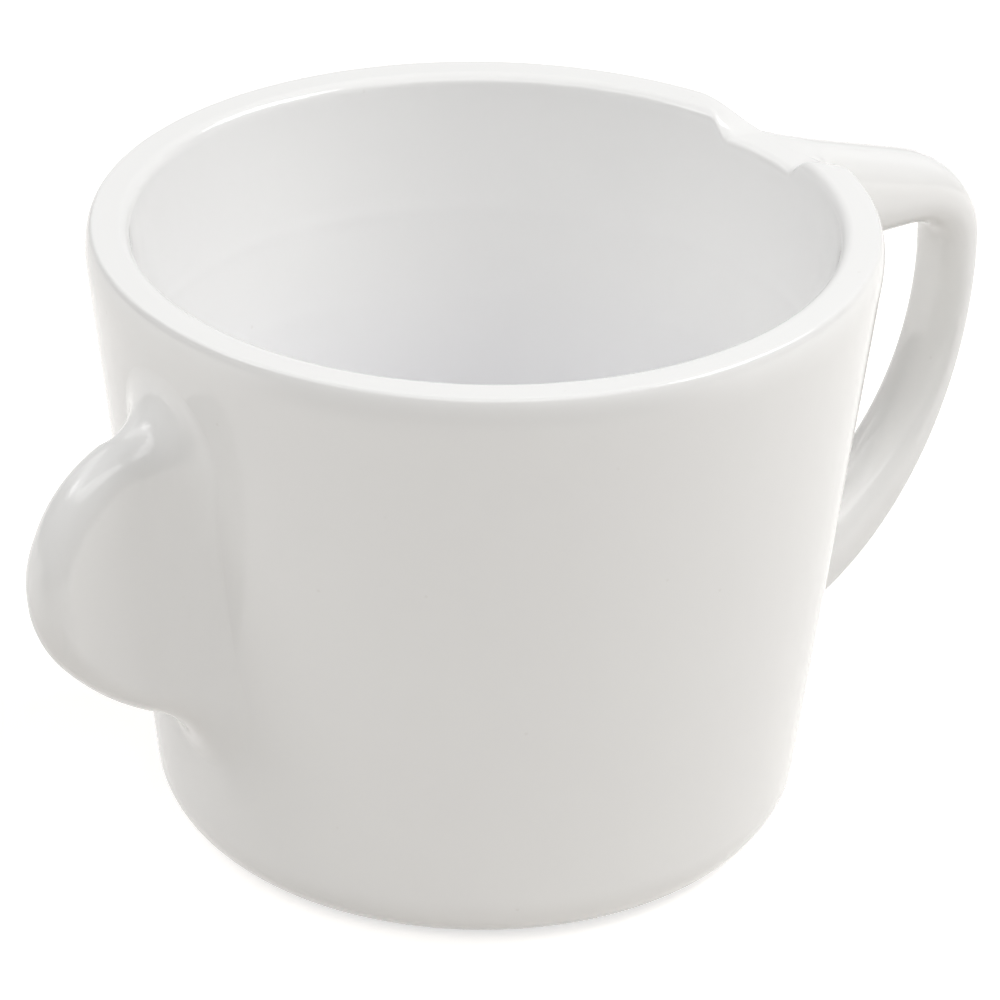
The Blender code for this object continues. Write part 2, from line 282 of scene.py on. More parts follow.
def glazed_china():
    """Vitrified white china under a clear, fired glaze.

    It gives the eye a clean, faintly warm white with a cool tint painted down in the well as painted shade, hardly
    visible clouds and specks of the clay, and sharp reflections that waver a little because the glaze ran before it
    set. The foot ring is wiped free of glaze before firing, so it is matt and creamier.
    """
    material = bpy.data.materials.new("glazed_vitrified_china")
    material.use_nodes = True
    tree = material.node_tree
    shader = tree.nodes["Principled BSDF"]
    place = add_node(tree, "ShaderNodeTexCoord").outputs["Object"]
    # Clouds of the clay body, about 30 mm across.
    clouds = add_node(
        tree,
        "ShaderNodeTexNoise",
        {"Vector": place, "Scale": 1 / (30 * MM), "Detail": 3.0, "Roughness": 0.55},
    )
    tone = add_node(
        tree,
        "ShaderNodeMix",
        {0: clouds.outputs["Fac"], 6: linear("#F8F8F6"), 7: linear("#F6F5F4")},
        data_type="RGBA",
    )
    # Painted shade: a cooler tint painted down in the well for the cool shade inside it, fading out higher up.
    height = add_node(tree, "ShaderNodeSeparateXYZ", {0: place}).outputs["Z"]
    flat = add_node(tree, "ShaderNodeVectorMath", {0: place, 1: (1.0, 1.0, 0.0)}, operation="MULTIPLY")
    radius = add_node(tree, "ShaderNodeVectorMath", {0: flat.outputs[0]}, operation="LENGTH").outputs["Value"]
    upright = add_node(
        tree, "ShaderNodeMath", {0: height, 1: -math.tan(inner_lean()), 2: radius}, operation="MULTIPLY_ADD"
    )
    inside = add_node(
        tree, "ShaderNodeMath", {0: upright.outputs[0], 1: (WELL_RADIUS + 1.0) * MM}, operation="LESS_THAN"
    )
    deep = add_node(
        tree,
        "ShaderNodeMapRange",
        {
            "Value": height,
            "From Min": FLOOR_THICKNESS * MM,
            "From Max": WELL_SHADE_TOP * MM,
            "To Min": 1.0,
            "To Max": 0.0,
        },
    )
    # painted shade: how much of the cool tint shows, full low in the well and none near its top
    well_shade = add_node(tree, "ShaderNodeMath", {0: inside.outputs[0], 1: deep.outputs[0]}, operation="MULTIPLY")
    well_shaded_tone = add_node(
        tree, "ShaderNodeMix", {0: well_shade.outputs[0], 6: tone.outputs[2], 7: linear("#F6F6FA")}, data_type="RGBA"
    )
    # Iron specks of the clay, 0.4 mm wide and some 6 mm apart.
    specks = add_node(tree, "ShaderNodeTexVoronoi", {"Vector": place, "Scale": 1 / (6 * MM)})
    speck = add_node(
        tree,
        "ShaderNodeMapRange",
        {"Value": specks.outputs["Distance"], "From Min": 0.02, "From Max": 0.045, "To Min": 0.10, "To Max": 0.0},
    )
    specked = add_node(
        tree, "ShaderNodeMix", {0: speck.outputs[0], 6: well_shaded_tone.outputs[2], 7: linear("#B5ACA0")}, data_type="RGBA"
    )
    # The bare foot ring: the lowest 0.2 mm of the cup.
    bare = add_node(
        tree,
        "ShaderNodeMapRange",
        {"Value": height, "From Min": 0.10 * MM, "From Max": 0.25 * MM, "To Min": 1.0, "To Max": 0.0},
    ).outputs[0]
    colour = add_node(
        tree, "ShaderNodeMix", {0: bare, 6: specked.outputs[2], 7: linear("#DDD6C8")}, data_type="RGBA"
    )
    # Gloss that breathes a little with the glaze's thickness, in patches of 18 mm.
    patches = add_node(tree, "ShaderNodeTexNoise", {"Vector": place, "Scale": 1 / (18 * MM), "Detail": 2.0})
    gloss = add_node(
        tree, "ShaderNodeMapRange", {"Value": patches.outputs["Fac"], "To Min": 0.05, "To Max": 0.10}
    )
    rough = add_node(tree, "ShaderNodeMix", {0: bare, 2: gloss.outputs[0], 3: 0.7})
    # Waves that the glaze set in, 9 mm long and some hundredths of a millimetre high.
    waves = add_node(tree, "ShaderNodeTexNoise", {"Vector": place, "Scale": 1 / (9 * MM), "Detail": 1.5})
    ripple = add_node(
        tree, "ShaderNodeBump", {"Strength": 0.25, "Distance": 0.06 * MM, "Height": waves.outputs["Fac"]}
    )
    tree.links.new(colour.outputs[2], shader.inputs["Base Color"])
    tree.links.new(rough.outputs[0], shader.inputs["Roughness"])
    tree.links.new(ripple.outputs[0], shader.inputs["Normal"])
    shader.inputs["IOR"].default_value = 1.5
    return material


def studio_white(name):
    """Matt paper under the cup. It gives the eye a plain white, also in the glaze, that keeps the cup's shadow."""
    material = bpy.data.materials.new(name)
    material.use_nodes = True
    tree = material.node_tree
    tree.nodes.clear()
    place = add_node(tree, "ShaderNodeTexCoord").outputs["Object"]
    # Paper fibres, drawn 2 mm wide so that they can show.
    fibres = add_node(tree, "ShaderNodeTexNoise", {"Vector": place, "Scale": 1 / (2 * MM), "Detail": 2.0})
    tone = add_node(
        tree,
        "ShaderNodeMix",
        {0: fibres.outputs["Fac"], 6: linear("#DEDBD7"), 7: linear("#DAD7D3")},
        data_type="RGBA",
    )
    paper = add_node(tree, "ShaderNodeBsdfDiffuse", {"Color": tone.outputs[2]})
    seen = seen_by_lens(tree, FLOOR_MIRRORED)
    lift = add_node(tree, "ShaderNodeMath", {0: seen, 1: FLOOR_LIFT}, operation="MULTIPLY")
    glow = add_node(tree, "ShaderNodeEmission", {"Strength": lift.outputs[0]})
    both = add_node(tree, "ShaderNodeAddShader", {0: paper.outputs[0], 1: glow.outputs[0]})
    add_node(tree, "ShaderNodeOutputMaterial", {"Surface": both.outputs[0]})
    material.cycles.emission_sampling = "NONE"
    return material


def seen_by_lens(tree, mirrored):
    """1 for rays straight from the lens, and a share of that for rays that are mirrored or go through glass."""
    path = add_node(tree, "ShaderNodeLightPath").outputs
    echo = add_node(
        tree, "ShaderNodeMath", {0: path["Is Glossy Ray"], 1: path["Is Transmission Ray"]}, operation="MAXIMUM"
    )
    share = add_node(tree, "ShaderNodeMath", {0: echo.outputs[0], 1: mirrored}, operation="MULTIPLY")
    seen = add_node(tree, "ShaderNodeMath", {0: path["Is Camera Ray"], 1: share.outputs[0]}, operation="MAXIMUM")
    return seen.outputs[0]


# Meshes


def show(name, mesh, material):
    """Puts a finished mesh in the scene, smooth, closed and facing outwards."""
    shape = bmesh.new()
    shape.from_mesh(mesh)
    bmesh.ops.recalc_face_normals(shape, faces=shape.faces)
    shape.to_mesh(mesh)
    shape.free()
    mesh.shade_smooth()
    mesh.materials.clear()
    mesh.materials.append(material)
    piece = bpy.data.objects.new(name, mesh)
    bpy.context.scene.collection.objects.link(piece)
    return piece


def stand_for(piece, node):
    """The piece hangs on the root body, and its CAD node is hidden."""
    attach(piece, "root")
    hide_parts(node)


def loft(name, rings, start, end):
    """A closed mesh through rings of points, ending in one point at each end."""
    count = len(rings[0])
    points = [p for ring in rings for p in ring] + [start, end]
    faces = []
    for k in range(len(rings) - 1):
        for i in range(count):
            j = (i + 1) % count
            faces.append((k * count + i, k * count + j, (k + 1) * count + j, (k + 1) * count + i))
    last = (len(rings) - 1) * count
    for i in range(count):
        j = (i + 1) % count
        faces.append((j, i, len(points) - 2))
        faces.append((last + i, last + j, len(points) - 1))
    mesh = bpy.data.meshes.new(name)
    mesh.from_pydata([tuple(np.asarray(p) * MM) for p in points], [], faces)
    return mesh


# Cup body: a section turned round the axis, with the rim let down at the notch


def turning_tree(glaze):
    """The node tree that turns the section round the axis."""
    tree = bpy.data.node_groups.new("turned_and_notched_cup", "GeometryNodeTree")
    face = tree.interface
    face.new_socket("Geometry", in_out="INPUT", socket_type="NodeSocketGeometry")
    for name, kind in (
        ("Steps Round", "NodeSocketInt"),
        ("Section Points", "NodeSocketInt"),
        ("Rim Radius", "NodeSocketFloat"),
        ("Rim Width", "NodeSocketFloat"),
        ("Notch Floor Inside", "NodeSocketFloat"),
        ("Notch Floor Outside", "NodeSocketFloat"),
        ("Notch Top Inside", "NodeSocketFloat"),
        ("Notch Top Outside", "NodeSocketFloat"),
        ("Notch Crowding", "NodeSocketFloat"),
        ("Glaze", "NodeSocketMaterial"),
    ):
        face.new_socket(name, in_out="INPUT", socket_type=kind)
    face.new_socket("Geometry", in_out="OUTPUT", socket_type="NodeSocketGeometry")
    given = add_node(tree, "NodeGroupInput").outputs
    columns = add_node(tree, "ShaderNodeMath", {0: given["Steps Round"], 1: 1.0}, operation="ADD")
    grid = add_node(
        tree,
        "GeometryNodeMeshGrid",
        {"Vertices X": columns.outputs[0], "Vertices Y": given["Section Points"]},
    )
    index = add_node(tree, "GeometryNodeInputIndex").outputs[0]
    share = add_node(tree, "ShaderNodeMath", {0: index, 1: given["Section Points"]}, operation="DIVIDE")
    column = add_node(tree, "ShaderNodeMath", {0: share.outputs[0]}, operation="FLOOR")
    row = add_node(tree, "ShaderNodeMath", {0: index, 1: given["Section Points"]}, operation="MODULO")
    turn = add_node(tree, "ShaderNodeMath", {0: column.outputs[0], 1: given["Steps Round"]}, operation="DIVIDE")
    even = add_node(tree, "ShaderNodeMath", {0: turn.outputs[0], 1: 2 * math.pi}, operation="MULTIPLY")
    wave = add_node(tree, "ShaderNodeMath", {0: even.outputs[0]}, operation="SINE")
    shift = add_node(tree, "ShaderNodeMath", {0: wave.outputs[0], 1: given["Notch Crowding"]}, operation="MULTIPLY")
    azimuth = add_node(tree, "ShaderNodeMath", {0: even.outputs[0], 1: shift.outputs[0]}, operation="SUBTRACT")
    across = add_node(tree, "ShaderNodeMath", {0: azimuth.outputs[0]}, operation="SINE")
    along = add_node(tree, "ShaderNodeMath", {0: azimuth.outputs[0]}, operation="COSINE")
    position = add_node(tree, "GeometryNodeInputPosition").outputs[0]
    notch_row = add_node(tree, "ShaderNodeMath", {0: row.outputs[0], 1: given["Section Points"]}, operation="ADD")
    plain, low = (
        add_node(
            tree,
            "GeometryNodeSampleIndex",
            {"Geometry": given["Geometry"], "Value": position, "Index": place.outputs[0]},
            data_type="FLOAT_VECTOR",
        ).outputs[0]
        for place in (row, notch_row)
    )
    # Where a point is as wide apart from its mirror image as the notch's floor or less, the rim is fully let down.
    rim_width = add_node(tree, "ShaderNodeMath", {0: given["Rim Radius"], 1: 2.0}, operation="MULTIPLY")
    offset = add_node(tree, "ShaderNodeMath", {0: across.outputs[0], 1: rim_width.outputs[0]}, operation="MULTIPLY")
    apart = add_node(tree, "ShaderNodeMath", {0: offset.outputs[0]}, operation="ABSOLUTE")
    rim_inside = add_node(
        tree, "ShaderNodeMath", {0: given["Rim Radius"], 1: given["Rim Width"]}, operation="SUBTRACT"
    )
    radius = add_node(tree, "ShaderNodeSeparateXYZ", {0: plain}).outputs["X"]
    floor_width, top_width = (
        add_node(
            tree,
            "ShaderNodeMapRange",
            {
                "Value": radius,
                "From Min": rim_inside.outputs[0],
                "From Max": given["Rim Radius"],
                "To Min": given[level + " Inside"],
                "To Max": given[level + " Outside"],
            },
        ).outputs[0]
        for level in ("Notch Floor", "Notch Top")
    )
    cut = add_node(
        tree,
        "ShaderNodeMapRange",
        {"Value": apart.outputs[0], "From Min": floor_width, "From Max": top_width, "To Min": 1.0, "To Max": 0.0},
        interpolation_type="SMOOTHSTEP",
    )
    handle_side = add_node(tree, "ShaderNodeMath", {0: along.outputs[0], 1: 0.0}, operation="GREATER_THAN")
    depth = add_node(tree, "ShaderNodeMath", {0: cut.outputs[0], 1: handle_side.outputs[0]}, operation="MULTIPLY")
    mixed = add_node(tree, "ShaderNodeMix", {0: depth.outputs[0], 4: plain, 5: low}, data_type="VECTOR")
    part = add_node(tree, "ShaderNodeSeparateXYZ", {0: mixed.outputs[1]}).outputs
    out_x = add_node(tree, "ShaderNodeMath", {0: part["X"], 1: along.outputs[0]}, operation="MULTIPLY")
    out_y = add_node(tree, "ShaderNodeMath", {0: part["X"], 1: across.outputs[0]}, operation="MULTIPLY")
    spot = add_node(tree, "ShaderNodeCombineXYZ", {0: out_x.outputs[0], 1: out_y.outputs[0], 2: part["Z"]})
    turned = add_node(
        tree, "GeometryNodeSetPosition", {"Geometry": grid.outputs["Mesh"], "Position": spot.outputs[0]}
    )
    closed = add_node(tree, "GeometryNodeMergeByDistance", {"Geometry": turned.outputs[0], "Distance": 0.001 * MM})
    real = add_node(tree, "GeometryNodeRealizeInstances", {0: closed.outputs[0]})
    glazed = add_node(tree, "GeometryNodeSetMaterial", {"Geometry": real.outputs[0], "Material": given["Glaze"]})
    add_node(tree, "NodeGroupOutput", {0: glazed.outputs[0]})
    return tree


def make_cup_body(glaze):
    plain = cup_section(0.0)
    points = [(r * MM, 0.0, z * MM) for r, z in plain + cup_section(1.0)]
    outline = bpy.data.meshes.new("cup_section")
    outline.from_pydata(points, [], [])
    former = bpy.data.objects.new("cup_former", outline)
    bpy.context.scene.collection.objects.link(former)
    turning = former.modifiers.new("turning", "NODES")
    turning.node_group = turning_tree(glaze)
    sizes = {
        "Steps Round": STEPS_ROUND,
        "Section Points": len(plain),
        "Rim Radius": RIM_RADIUS * MM,
        "Rim Width": RIM_WIDTH * MM,
        "Notch Floor Inside": NOTCH_FLOOR_INSIDE * MM,
        "Notch Floor Outside": NOTCH_FLOOR_OUTSIDE * MM,
        "Notch Top Inside": NOTCH_TOP_INSIDE * MM,
        "Notch Top Outside": NOTCH_TOP_OUTSIDE * MM,
        "Notch Crowding": NOTCH_CROWDING,
        "Glaze": glaze,
    }
    for socket in turning.node_group.interface.items_tree:
        if socket.in_out == "INPUT" and socket.name in sizes:
            turning[socket.identifier] = sizes[socket.name]
    depsgraph = bpy.context.evaluated_depsgraph_get()
    mesh = bpy.data.meshes.new_from_object(former.evaluated_get(depsgraph), depsgraph=depsgraph)
    former.modifiers.remove(turning)
    bpy.data.objects.remove(former)
    mesh.name = "cup_body_glazed"
    return show("cup_body_glazed", mesh, glaze)


# Roots of the handles


def on_wall(y, z, lift):
    """The point of the outer wall's +X side at this y and z, lifted off it."""
    return np.array([math.sqrt((outer_radius(z) + lift) ** 2 - y * y), y, z])


def meet_wall(point, direction):
    """Where a line from this point meets the wall."""
    point = np.array(point, float)
    for _ in range(MEETING_ROUNDS):
        short = math.hypot(point[0], point[1]) - outer_radius(point[2])
        point = point + np.asarray(direction) * short
    return point


def along_wall(point, way):
    """The same length as way, turned to run along the wall at this point."""
    step = 0.01
    slope = (outer_radius(point[2] + step) - outer_radius(point[2] - step)) / (2 * step)
    radius = math.hypot(point[0], point[1])
    outward = np.array([point[0] / radius, point[1] / radius, -slope])
    outward /= np.linalg.norm(outward)
    flat = way - outward * np.dot(way, outward)
    return flat * np.linalg.norm(way) / max(np.linalg.norm(flat), 1e-9)


def spread(ring, lengths):
    """A ring (y, z) moved outwards, square to itself, by a length for each point."""
    along = np.roll(ring, -1, axis=0) - np.roll(ring, 1, axis=0)
    outward = np.stack([along[:, 1], -along[:, 0]], axis=1)
    outward /= np.linalg.norm(outward, axis=1)[:, None]
    if ((ring - ring.mean(axis=0)) * outward).sum() < 0:
        outward = -outward
    return ring + outward * np.asarray(lengths)[:, None]


def root_rings(section, hits, edge, leads):
    """Rings that flare from a section to the wall, dive just under it and close inside it, and the closing point.

    hits are where the section would meet the wall without a fillet. edge is where the fillet ends (y, z). leads are
    the shares of the way to the wall on which each point keeps its course.
    """
    rails = []
    for start, hit, (y, z), lead in zip(section, hits, edge, leads):
        end = on_wall(y, z, -SINK)
        first = np.asarray(start) + (hit - start) * lead
        last = end + along_wall(end, hit - end) * QUARTER_ARC
        rails.append(bezier((start, first, last, end), FILLET_STEPS + 1)[1:])
    rings = [[rail[k] for rail in rails] for k in range(FILLET_STEPS)]
    for run, depth in ((RUN_ON, SINK * 2), (RUN_ON * 1.5, SKIRT)):
        rings.append([on_wall(y, z, -depth) for y, z in spread(edge, [run] * len(edge))])
    middle = hits[:, 1:].mean(axis=0)
    rings.append([on_wall(y, z, -SKIRT) for y, z in (edge + middle) / 2])
    return rings, on_wall(middle[0], middle[1], -SKIRT)


# Loop handle


def handle_edges():
    """The outer and the inner edge of the handle in its middle plane, point by point."""
    edges = []
    for bar, bend, strap in (
        (BAR_TOP, BEND_OUTSIDE, STRAP_OUTSIDE),
        (BAR_UNDERSIDE, BEND_INSIDE, STRAP_INSIDE),
    ):
        runs = np.linspace(*bar, BAR_STEPS)[:-1], bezier(bend, BEND_STEPS)[:-1], bezier(strap, STRAP_STEPS)
        edges.append(np.concatenate(runs))
    return edges


def handle_section(outer, inner):
    """One rounded section of the strap between its outer and its inner edge."""
    middle = (outer + inner) / 2
    half = (outer - inner) / 2
    ring = []
    for turn in np.arange(HANDLE_SIDES) * 2 * math.pi / HANDLE_SIDES:
        power = 2 / (OUTER_POWER if math.cos(turn) > 0 else INNER_POWER)
        deep = math.copysign(abs(math.cos(turn)) ** power, math.cos(turn))
        wide = math.copysign(abs(math.sin(turn)) ** power, math.sin(turn))
        x, z = middle + half * deep
        ring.append(np.array([x, wide * HANDLE_WIDTH / 2, z]))
    return ring


def upper_root(section):
    """The handle's upper end. Its top runs on to the notch's floor, its sides and underside flare to the wall."""
    turns = np.arange(HANDLE_SIDES) * 2 * math.pi / HANDLE_SIDES
    slope = np.subtract(*BAR_TOP)
    slope /= np.linalg.norm(slope)
    floor_z = CUP_HEIGHT - NOTCH_DEPTH
    fall = [smooth_step((1.0 - math.cos(t)) / 2 * LEVEL_SPEED) for t in turns]
    directions = [np.array([slope[0], 0.0, slope[1] * (1.0 - f)]) for f in fall]
    directions = [d / np.linalg.norm(d) for d in directions]
    hits = np.array([meet_wall(p, d) for p, d in zip(section, directions)])
    fillets = [HANDLE_FILLET * smooth_step((1.0 - math.cos(t)) * FILLET_SPEED) for t in turns]
    edge = spread(hits[:, 1:], fillets)
    rails = []
    for turn, start, hit, heading, (y, z) in zip(turns, section, hits, directions, edge):
        tilt = abs((turn + math.pi) % (2 * math.pi) - math.pi)
        on_floor = 1.0 - smooth_step((tilt - math.radians(FLOOR_ANGLE)) / math.radians(FLOOR_BLEND))
        z = min(z, floor_z - ROOT_DROP)
        sunk = smooth_step((z - floor_z + ROOT_SINK_START) / ROOT_SINK_RUN)
        wall_end = on_wall(y, z, -SINK - ROOT_SINK * sunk)
        wall_last = wall_end + along_wall(wall_end, hit - wall_end) * QUARTER_ARC
        width = min(tilt / math.radians(FLARE_ANGLE), 1.0) * (HANDLE_WIDTH / 2 + BAR_FLARE)
        floor_end = np.array([NOTCH_REACH, math.copysign(width, start[1]), floor_z - NOTCH_DIP])
        floor_last = floor_end + np.array([NOTCH_RUN, 0.0, NOTCH_RISE])
        end = wall_end + (floor_end - wall_end) * on_floor
        last = wall_last + (floor_last - wall_last) * on_floor
        lead = QUARTER_ARC + (FLOOR_LEAD - QUARTER_ARC) * on_floor
        first = np.asarray(start) + heading * np.linalg.norm(hit - start) * lead
        rails.append(bezier((start, first, last, end), FILLET_STEPS + 1)[1:])
    rings = [[rail[k] for rail in rails] for k in range(FILLET_STEPS)]
    middle = np.mean([rail[-1] for rail in rails], axis=0)
    inside = np.array([middle[0] - SKIRT * 2, 0.0, middle[2] - SKIRT])
    rings.append([(inside + rail[-1]) / 2 for rail in rails])
    return rings, inside


def make_loop_handle(glaze):
    outside, inside = handle_edges()
    middle = (outside + inside) / 2
    from_wall = middle[:, 0] - np.array([outer_radius(z) for z in middle[:, 1]])
    kept = [i for i in range(len(middle)) if from_wall[i] > HANDLE_FOOT_FILLET + STRAP_ROOM]
    sections = [handle_section(outside[i], inside[i]) for i in kept]
    inward = middle[kept[-1]] - middle[kept[-2]]
    inward = np.array([inward[0], 0.0, inward[1]]) / np.linalg.norm(inward)
    hits = np.array([meet_wall(p, inward) for p in sections[-1]])
    edge = spread(hits[:, 1:], [HANDLE_FOOT_FILLET] * HANDLE_SIDES)
    upper, upper_end = upper_root(sections[0])
    lower, lower_end = root_rings(sections[-1], hits, edge, [QUARTER_ARC] * HANDLE_SIDES)
    mesh = loft("loop_handle_glazed", upper[::-1] + sections + lower, upper_end, lower_end)
    return show("loop_handle_glazed", mesh, glaze)


# Lug handle


def lug_outline():
    """The lug's edge (x, z) in its middle plane: its gently sloping top, round nose and flatter underside."""
    middle = np.array([wall_radius(LUG_HEIGHT) + LUG_STANDOFF, LUG_HEIGHT])
    top_slope = math.radians(LUG_TOP_SLOPE)
    turn = math.radians(LUG_SLOPE) - math.pi / 2
    nose = np.array(arc(middle, LUG_RADIUS, math.pi / 2 - top_slope, turn, LUG_NOSE_STEPS))
    run = LUG_RADIUS + LUG_STANDOFF
    root = nose[0] + run * np.array([-1.0, math.tan(top_slope)])
    top = np.linspace(root, nose[0], LUG_TOP_STEPS)[:-1]
    under_middle = nose[-1] - LUG_UNDER_RADIUS * np.array([math.cos(turn), math.sin(turn)])
    underside = arc(under_middle, LUG_UNDER_RADIUS, turn, -math.pi / 2, LUG_UNDER_STEPS)[1:]
    return np.concatenate([top, nose, underside])


def lug_section(upper, lower, half_thick, upper_cap, lower_cap):
    """A tall ring (y, z) with straight flanks and rounded ends between two heights."""
    turns = (np.arange(LUG_CAP_STEPS) + 0.5) / LUG_CAP_STEPS * math.pi - math.pi / 2
    top = [(half_thick * math.sin(a), upper + upper_cap * (math.cos(a) - 1.0)) for a in turns]
    bottom = [(-half_thick * math.sin(a), lower + lower_cap * (1.0 - math.cos(a))) for a in turns]
    flank = np.linspace(upper - upper_cap, lower + lower_cap, LUG_FLANK_STEPS)
    return top + [(half_thick, z) for z in flank] + bottom + [(-half_thick, z) for z in flank[::-1]]


def make_lug_handle(glaze):
    outline = lug_outline()
    stands = outline[:, 0] - np.array([wall_radius(z) for z in outline[:, 1]])
    tip = int(np.argmax(stands))
    reach = stands[tip]
    # The outline's points from the wall out to the tip, over the top and along the underside.
    sides = slice(tip + 1), slice(None, tip - 1, -1)
    half = LUG_THICKNESS / 2
    slants = np.gradient(outline, axis=0)
    level_share = np.abs(slants[:, 0]) / np.linalg.norm(slants, axis=1)
    sections = []
    for stand in LUG_STAND + (reach - LUG_STAND) * np.sin(np.linspace(0.0, math.pi / 2, LUG_RINGS))[:-1]:
        upper, lower = (np.interp(stand, stands[side], outline[side, 1]) for side in sides)
        level = [np.interp(stand, stands[side], level_share[side]) for side in sides]
        middle = (upper - lower) / 2
        short = max(0.0, stand - (reach - half)) / half
        half_thick = half * math.sqrt(1.0 - short * short)
        caps = [min(middle * LUG_CAP_LIMIT, half / max(share, LUG_LEAST_SHARE)) for share in level]
        ring = lug_section(upper, lower, half_thick, *caps)
        sections.append([np.array([wall_radius(z) + stand, y, z]) for y, z in ring])
    heights = np.array(sections[0])[:, 2]
    # The top and the underside keep their slopes into the wall.
    down = (heights.max() - heights) / np.ptp(heights)
    slopes = np.radians(down * (LUG_ROOT_SLOPE + LUG_TOP_SLOPE) - LUG_TOP_SLOPE)
    headings = [(-math.cos(a), 0.0, -math.sin(a)) for a in slopes]
    hits = np.array([meet_wall(p, heading) for p, heading in zip(sections[0], headings)])
    upward = (hits[:, 2] - hits[:, 2].mean()) / np.ptp(hits[:, 2]) * 2.0
    ends = np.where(upward > 0, LUG_TOP_FILLET, LUG_UNDER_FILLET)
    share = np.abs(upward) ** 3
    leads = LUG_LEAD + (QUARTER_ARC - LUG_LEAD) * share
    edge = spread(hits[:, 1:], LUG_FILLET + (ends - LUG_FILLET) * share)
    root, root_end = root_rings(sections[0], hits, edge, leads)
    nose = (outline[tip, 0], 0.0, outline[tip, 1])
    mesh = loft("lug_handle_glazed", root[::-1] + sections, root_end, nose)
    mesh.transform(Matrix.Rotation(math.pi, 4, "Z"))
    return show("lug_handle_glazed", mesh, glaze)


# Studio

PHOTO_TURN = 37.5  # how far the handles' plane is turned away from the picture plane
LOOK_DOWN = 28.1
CAMERA_ROLL = 1.15
CAMERA_DISTANCE = 630.0
CAMERA_TARGET = (1.763, -1.352, 37.87)
LENS = 198.2
SENSOR_WIDTH = 36.0
FLOOR_LIFT = 0.62  # how much of the paper's white the lens sees without any light on it
FLOOR_MIRRORED = 0.9  # share of that which the glaze mirrors
FLOOR_SIZE = 6000.0
SCREEN_RADIUS = 1000.0
SCREEN_HEIGHT = 1250.0
SCREEN_REACH = 140.0  # how far round it goes to each side of the lens
SCREEN_FADE = 0.4  # share of its height on which it fades out
TABLE_EDGE = 130.0  # where the white paper ends before the lens and the dark table starts
TABLE_LIFT = 1.0  # how far over the paper it lies
TABLE_REACH = 75.0
TABLE_FADE = 0.083  # share of its depth on which it fades in
SIDE_FADE = 35.0  # angle on which both fade out at their sides
SCREEN_COLUMNS = 61
SCREEN_ROWS = 13
WORLD_COLOUR = "#FFFFFF"
WORLD_STRENGTH = 0.08
# Lamps: compass angle (0 straight away from the lens, 90 to its right), height angle, distance, width, height
# and watts
LAMPS = {
    "right_softbox": (86.0, 47.0, 1000.0, 760.0, 320.0, 6.35),
    "right_panel": (128.0, 24.0, 1200.0, 900.0, 700.0, 0.65),
    "left_softbox": (-98.0, 44.0, 1000.0, 300.0, 150.0, 0.4),
    "left_panel": (-88.0, 40.0, 1200.0, 1600.0, 900.0, 6.4),
    "front_panel": (182.0, 44.0, 1200.0, 1500.0, 600.0, 4.9),
}


def picture_axes():
    """Unit vectors to the right of the picture, away from the lens along the table, and up."""
    a = math.radians(PHOTO_TURN)
    return Vector((math.cos(a), -math.sin(a), 0)), Vector((math.sin(a), math.cos(a), 0)), Vector((0, 0, 1))


def towards(compass, height):
    """A direction given by its compass angle in the picture and its height angle."""
    right, away, up = picture_axes()
    c, h = math.radians(compass), math.radians(height)
    return (right * math.sin(c) + away * math.cos(c)) * math.cos(h) + up * math.sin(h)


def make_camera():
    right, away, up = picture_axes()
    down = math.radians(LOOK_DOWN)
    forward = away * math.cos(down) - up * math.sin(down)
    over = away * math.sin(down) + up * math.cos(down)
    roll = math.radians(CAMERA_ROLL)
    side = right * math.cos(roll) + over * math.sin(roll)
    top = over * math.cos(roll) - right * math.sin(roll)
    place = (Vector(CAMERA_TARGET) - forward * CAMERA_DISTANCE) * MM
    lens = bpy.data.cameras.new("photo_camera")
    lens.sensor_width = SENSOR_WIDTH
    lens.lens = LENS
    camera = bpy.data.objects.new("photo_camera", lens)
    camera.matrix_world = Matrix.Translation(place) @ Matrix((side, top, -forward)).transposed().to_4x4()
    bpy.context.scene.collection.objects.link(camera)
    bpy.context.scene.camera = camera


def make_lamps():
    aim = Vector((0, 0, CUP_HEIGHT / 2 * MM))
    for name, (compass, height, distance, wide, tall, watts) in LAMPS.items():
        lamp = bpy.data.lights.new(name, "AREA")
        lamp.shape = "RECTANGLE"
        lamp.size = wide * MM
        lamp.size_y = tall * MM
        lamp.energy = watts
        stand = bpy.data.objects.new(name, lamp)
        stand.location = aim + towards(compass, height) * distance * MM
        stand.rotation_euler = (aim - stand.location).to_track_quat("-Z", "Y").to_euler()
        bpy.context.scene.collection.objects.link(stand)


def make_world():
    """A white studio: even soft light on the cup, and white where the lens or the glaze looks past the paper."""
    world = bpy.data.worlds.new("white_studio")
    world.use_nodes = True
    bpy.context.scene.world = world
    tree = world.node_tree
    tree.nodes.clear()
    strength = add_node(
        tree,
        "ShaderNodeMapRange",
        {"Value": seen_by_lens(tree, 1.0), "To Min": WORLD_STRENGTH, "To Max": 1.0},
    )
    light = add_node(tree, "ShaderNodeBackground", {"Color": linear(WORLD_COLOUR), "Strength": strength.outputs[0]})
    add_node(tree, "ShaderNodeOutputWorld", {"Surface": light.outputs[0]})


def make_floor():
    half = FLOOR_SIZE / 2 * MM
    mesh = bpy.data.meshes.new("studio_floor")
    mesh.from_pydata([(-half, -half, 0), (half, -half, 0), (half, half, 0), (-half, half, 0)], [], [(0, 1, 2, 3)])
    mesh.materials.append(studio_white("white_paper"))
    floor = bpy.data.objects.new("studio_floor", mesh)
    bpy.context.scene.collection.objects.link(floor)


